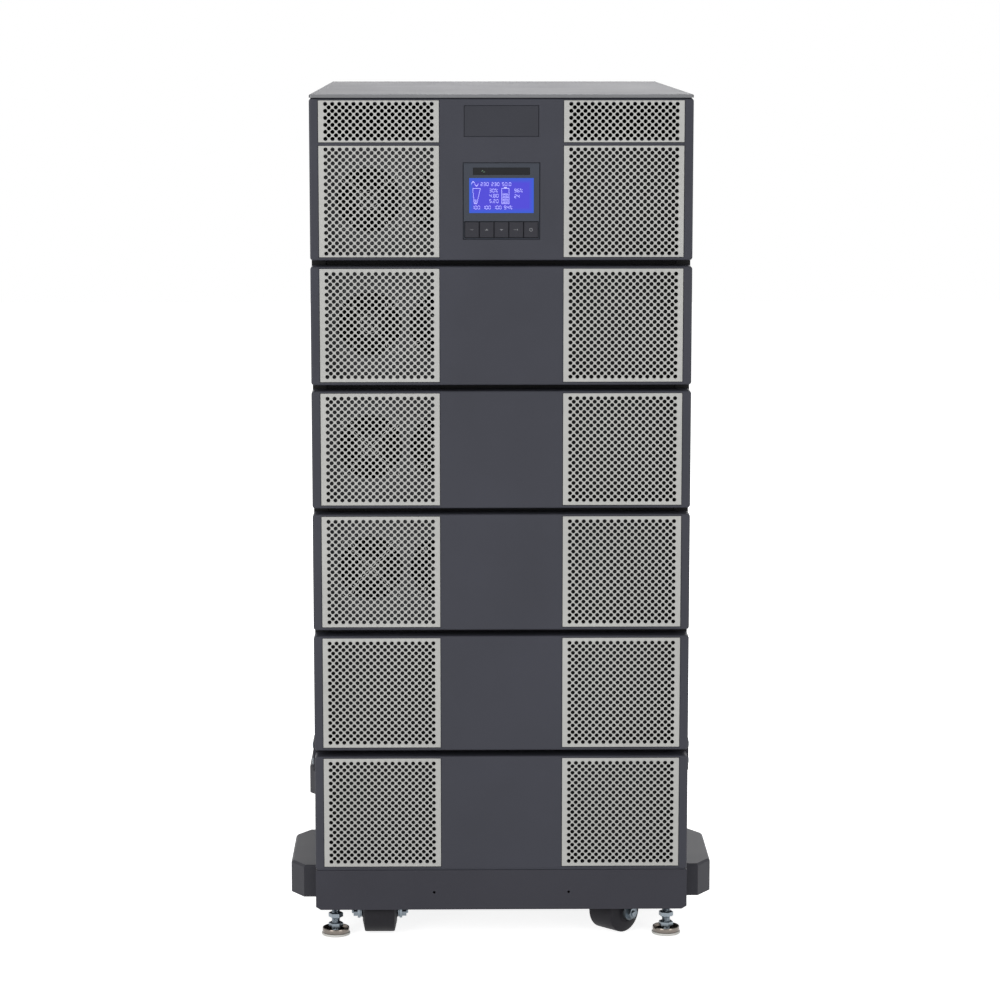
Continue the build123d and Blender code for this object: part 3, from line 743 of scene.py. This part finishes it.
# %% Display picture
screen = np.zeros((64, 128), bool)
sine_sign(screen, row=5, column=2, width=15, height=8)
lines = [("230 230 50.0", 7, 21), ("30%", 19, 39), ("4.80", 29, 39), ("5.20", 39, 39), ("96%", 19, 90),
         ("24", 30, 90), ("100 100 100 94%", 51, 3)]
for text, row, column in lines:
    write_number(screen, text, row, column)
top, bottom = 18, 47
down = np.arange(top, bottom + 1)
wedge_left, wedge_right = 5 + (down - top) // 9, 20 - (down - top) // 4
screen[down, wedge_left] = screen[down, wedge_right] = True
screen[top, wedge_left[0]:wedge_right[0]] = screen[bottom, wedge_left[-1]:wedge_right[-1]] = True
screen[40:bottom:2, 9:13] = True
battery_left, battery_right = 64, 79
screen[top - 2:top, battery_left + 5:battery_right - 4] = True
screen[[top, bottom], battery_left:battery_right] = True
screen[top:bottom + 1, [battery_left, battery_right]] = True
charge_rows, charge_columns = np.arange(27, 46)[:, None], np.arange(battery_left + 2, battery_right - 1)
checks, stripes = (charge_rows + charge_columns) % 2 == 0, charge_rows % 5 != 2
screen[charge_rows, charge_columns] = checks & stripes
screen_margin = np.array([4, 2])
dot = 2 * screen_half[[0, 2]] / (np.array(screen.shape)[::-1] + screen_margin)
marks = tiles(screen, screen_middle[[0, 2]], dot, screen_low[1])
piece("lcd_marks", marks, "dots")

# %% [markdown]
# The same tiles draw the lit sine sign in the status window and the plain signs on the five keys: a
# bar, two arrows, a bar with a point, and a ring for power. The key signs glow faintly, as painted light.
# Each sign rides on its own key, so it moves when the key is pressed.

# %% Status sign and key signs
bar_low, bar_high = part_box("status_bar")
status_share, status_dot, key_dot = 0.18, 0.0003, 0.00042
status = np.zeros((9, 13), bool)
sine_sign(status, row=1, column=0, width=13, height=6)
status_spot = (bar_low.x + status_share * (bar_high.x - bar_low.x), (bar_low.z + bar_high.z) / 2)
status_tiles = tiles(status, status_spot, (status_dot, status_dot), bar_low.y)
piece("status_mark", status_tiles, "status")

# v counts the dots down and h the dots across, both from the middle of a key.
v, h = np.mgrid[-5:6, -7:8]
ring_line = abs(np.hypot(v, h) - 4) < 0.7
signs = [
    (v == 0) & (abs(h) < 5),
    (v == 1) & (abs(h) < 5) | (v < 1) & (v > -3) & (abs(h) < v + 3),
    (v == -1) & (abs(h) < 5) | (v > -1) & (v < 3) & (abs(h) < 3 - v),
    (v == 0) & (h > -7) & (h < 0) | (abs(v) < 2) & (abs(h - 3) < 2),
    ring_line & ((abs(h) > 1) | (v > 0)) | (h == 0) & (v < 0) & (v > -5),
]
for number, sign in zip(key_numbers, signs):
    low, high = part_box("key_%d" % number)
    spot = ((low.x + high.x) / 2, (low.z + high.z) / 2)
    sign_tiles = tiles(sign, spot, (key_dot, key_dot), low.y)
    piece("key_sign_%d" % number, sign_tiles, "legend", body="key_%d_body" % number)

# %% [markdown]
# ## Levelling feet
# A foot is a white nylon sole, a hollow nickel cup, a threaded stud and two nuts. Sole and cup are
# profiles turned round the axis, as on a lathe. A Screw modifier could wind the thread, but its ends
# stay open. Here the thread is the same turning as the rest, with a radius that also depends on the
# angle, so it ends in flat caps.


# %% Thread and nut
def threaded(radius, depth, pitch, bottom, top, sides=20, steps=6):
    """A screw: radius less depth times |2 f - 1|, f being the fraction of height / pitch - angle / turn."""
    z = np.linspace(bottom, top, int((top - bottom) / pitch * steps))[:, None]
    t = np.arange(sides) / sides
    r = radius - depth * np.abs(2 * np.mod(z / pitch - t, 1) - 1)
    return tube(np.stack([r * np.cos(2 * np.pi * t), r * np.sin(2 * np.pi * t), z + 0 * t], -1))


def hex_nut(flats, bottom, height, corner=0.86, chamfer=0.12):
    """A six-sided turning with both rims chamfered."""
    r = flats / np.sqrt(3)
    steps = ((corner, 0), (1, chamfer), (1, 1 - chamfer), (corner, 1))
    return turned([(r * out, bottom + height * up) for out, up in steps], 6)


print("thread and nut ready")

# %% Feet
foot_radius, foot_turn = 0.0170, 0.4
nut_flats, nut_height, nut_bottoms = 0.0150, 0.006, (0.009, 0.021)
sole_profile = [(0.0150, 0), (0.0166, 0.0004), (foot_radius, 0.0011), (foot_radius, 0.0022),
                (0.0166, 0.0029), (0.0140, 0.0030)]
cup_profile = [(0.0146, 0.0030), (0.0156, 0.0032), (0.0160, 0.0038), (0.0160, 0.0081), (0.0157, 0.0088),
               (0.0150, 0.0090), (0.0143, 0.0088), (0.0138, 0.0080), (0.0128, 0.0056), (0.0110, 0.0048),
               (0.0060, 0.0048)]
feet_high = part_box("levelling_feet")[1]
foot_x, foot_y = feet_high.x - foot_radius, feet_high.y - foot_radius
foot_spots = [(side * foot_x, end * foot_y, 0.0) for side in (-1, 1) for end in (-1, 1)]


def at_feet(part):
    """A copy of a part at each foot, each turned a little further."""
    return joined([placed(part, foot_turn * n, spot) for n, spot in enumerate(foot_spots)])


stud = threaded(radius=0.0050, depth=0.0006, pitch=0.0015, bottom=0.0045, top=feet_high.z)
nuts = joined([hex_nut(nut_flats, bottom, nut_height) for bottom in nut_bottoms])
foot_pieces = [
    piece("foot_soles", at_feet(turned(sole_profile)), "sole"),
    piece("foot_cups", at_feet(turned(cup_profile)), "nickel"),
    piece("foot_studs", at_feet(stud), "zinc", smooth=50),
    piece("foot_nuts", at_feet(nuts), "zinc", smooth=20),
]
for made in foot_pieces:
    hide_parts("levelling_feet")

# %% [markdown]
# ## Casters
# A rubber wheel has a flat tread, a rounded shoulder, a tapering flank and a hub with a shallow ring. A
# bevelled cylinder would lack the ring and the taper, so it is a profile turned round the axle, one
# flank and its mirror image. The casters stand at different angles, as they stop after a move, so each
# wheel is turned to its fork. The fork gets the spacers and the bolt ends that CAD leaves out.

# %% Wheels and axle trim
flank = [(0.0044, 0.0214), (0.0074, 0.0214), (0.0080, 0.0210), (0.0086, 0.0203), (0.0112, 0.0200),
         (0.0118, 0.0204), (0.0124, 0.0204), (0.0238, 0.0179), (0.0245, 0.0175), (0.0249, 0.0167),
         (0.0250, 0.0156)]
wheel_profile = [(r, -x) for r, x in flank] + [(r, x) for r, x in reversed(flank)]
spacer_profile = [(0.0044, 0.0216), (0.0074, 0.0216), (0.0078, 0.0219), (0.0078, 0.0231), (0.0074, 0.0234),
                  (0.0044, 0.0234)]
bolt_end_profile = [(0.0032, 0.0310), (0.0036, 0.0314), (0.0036, 0.0330), (0.0030, 0.0336)]
axle_degrees = dict(zip(wheel_corners, (0.0, -45.0, 15.0, -20.0)))


def on_axle(profile, sides=64):
    """A turning whose axis lies along X."""
    points, faces = turned(profile, sides)
    return points[:, [2, 0, 1]], faces


def both_ends(profile):
    """A turning and its mirror image at the other end of the axle."""
    return joined([on_axle(profile, 32), on_axle([(r, -x) for r, x in profile], 32)])


axle_trim = joined([both_ends(spacer_profile), both_ends(bolt_end_profile)])
for corner, degrees in axle_degrees.items():
    low, high = (np.array(c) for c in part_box("caster_wheel_" + corner))
    stand = {"turn": np.radians(degrees), "move": (low + high) / 2}
    tyre = placed(on_axle(wheel_profile), **stand)
    wheel_body = "wheel_" + corner
    wheel = piece(wheel_body + "_tyre", tyre, "rubber", body=wheel_body, smooth=40)
    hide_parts("caster_wheel_" + corner)
    trim = placed(axle_trim, **stand)
    piece("axle_trim_" + corner, trim, "zinc", body="caster_" + corner)

# %% [markdown]
# ## Screws
# Pan-head screws hold the rear panels and the brackets. Such a head is a disc whose height falls off
# with the radius, with a cross pressed into it. A Boolean cut could make the cross, but the height is
# one formula over radius and angle, which needs no cut and few faces.


# %% Screws
def screw_head(radius, height, dome=0.85, sink=0.55, bar=0.16, bar_slope=0.06, reach=0.66, reach_slope=0.10):
    """Height times sqrt(1 - (dome r)^2), less sink times height in a cross of two bars, r from 0 to 1."""
    r = np.append(np.linspace(0.02, 1, 12), 1)[:, None]
    t = np.linspace(0, 2 * np.pi, 32, endpoint=False)
    x, z = r * np.cos(t), r * np.sin(t)
    narrow = np.minimum(np.abs(x), np.abs(z))
    cross = np.clip((bar - narrow) / bar_slope, 0, 1) * np.clip((reach - r) / reach_slope, 0, 1)
    rise = height * (np.sqrt(1 - (dome * r) ** 2) - sink * cross)
    rise[-1] = 0
    return tube(np.stack([radius * x, -rise, radius * z], -1))


rear_low, rear_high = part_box("rear_panels")
bracket_low, bracket_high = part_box("stacking_brackets")
bracket_y = (bracket_low.y + bracket_high.y) / 2
rear_margin, rear_steps, bracket_margin = 0.009, (0.012, 0.124), 0.009
rear_head, bracket_head = screw_head(0.0032, 0.0016), screw_head(0.0040, 0.0018)
heads = [
    placed(rear_head, np.pi, (x, rear_high.y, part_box("bezel_%d" % tier)[0].z + step))
    for tier in tiers
    for x in (rear_low.x + rear_margin, rear_high.x - rear_margin)
    for step in rear_steps
]
heads += [
    placed(bracket_head, turn, (x, bracket_y, z))
    for x, turn in ((bracket_low.x, -np.pi / 2), (bracket_high.x, np.pi / 2))
    for z in (bracket_low.z + bracket_margin, bracket_high.z - bracket_margin)
]
piece("panel_screws", joined(heads), "zinc", smooth=25)

# %% [markdown]
# ## Base bead
# The lowest bezel meets the base without a dark seam. A flat strip could cover the joint, but it would
# catch a hard line of light. A thin round bead, made as a straight wire, fills the joint and takes the
# shade of the bezel.

# %% Base bead
bezel_low, bezel_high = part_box("bezel_6")
bead_radius, bead_sink, bead_lift, bead_inset = 0.0011, 0.0013, 0.0003, 0.002
bead_x = np.linspace(bezel_low.x + bead_inset, bezel_high.x - bead_inset, 24)[:, None]
bead_path = bead_x * [1, 0, 0] + [0, bezel_low.y + bead_sink, bezel_low.z + bead_lift]
piece("base_bead", wire(bead_path, bead_radius, sides=12), "bezel", smooth=60)

# %% [markdown]
# ## Rivet nuts
# The two small holes in the front of the base look black. A blind rivet nut, a sleeve that is closed at
# its far end, sits behind such a hole and keeps the light out; its near-black finish adds painted shade.
# A black disc would do from the front. A turned sleeve also has the depth, and looks right from an angle.

# %% Rivet nuts
skirt_sheet, skirt_hole_x, skirt_hole_z = 0.002, 0.0794, 0.060
rivet_profile = [(0.0003, 0.010), (0.0014, 0.010), (0.00155, 0.0), (0.0032, 0.0), (0.0032, 0.012),
                 (0.0003, 0.012)]
rivet_points, rivet_faces = turned(rivet_profile, 24)
rivet = (rivet_points[:, [0, 2, 1]], [f[:, ::-1] for f in rivet_faces])
rivet_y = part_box("base_tray")[0].y + skirt_sheet
rivets = [placed(rivet, move=(side * skirt_hole_x, rivet_y, skirt_hole_z)) for side in (-1, 1)]
# The sleeves wear the near-black rotor finish: painted shade inside the holes, on top of their real depth.
piece("skirt_rivet_nuts", joined(rivets), "rotor")

# %% [markdown]
# ## Sizes
# Nothing that was added may stand outside the solids. The high corner of the solids is printed.

print("high corner of the solids", [round(c, 3) for c in cad_high])
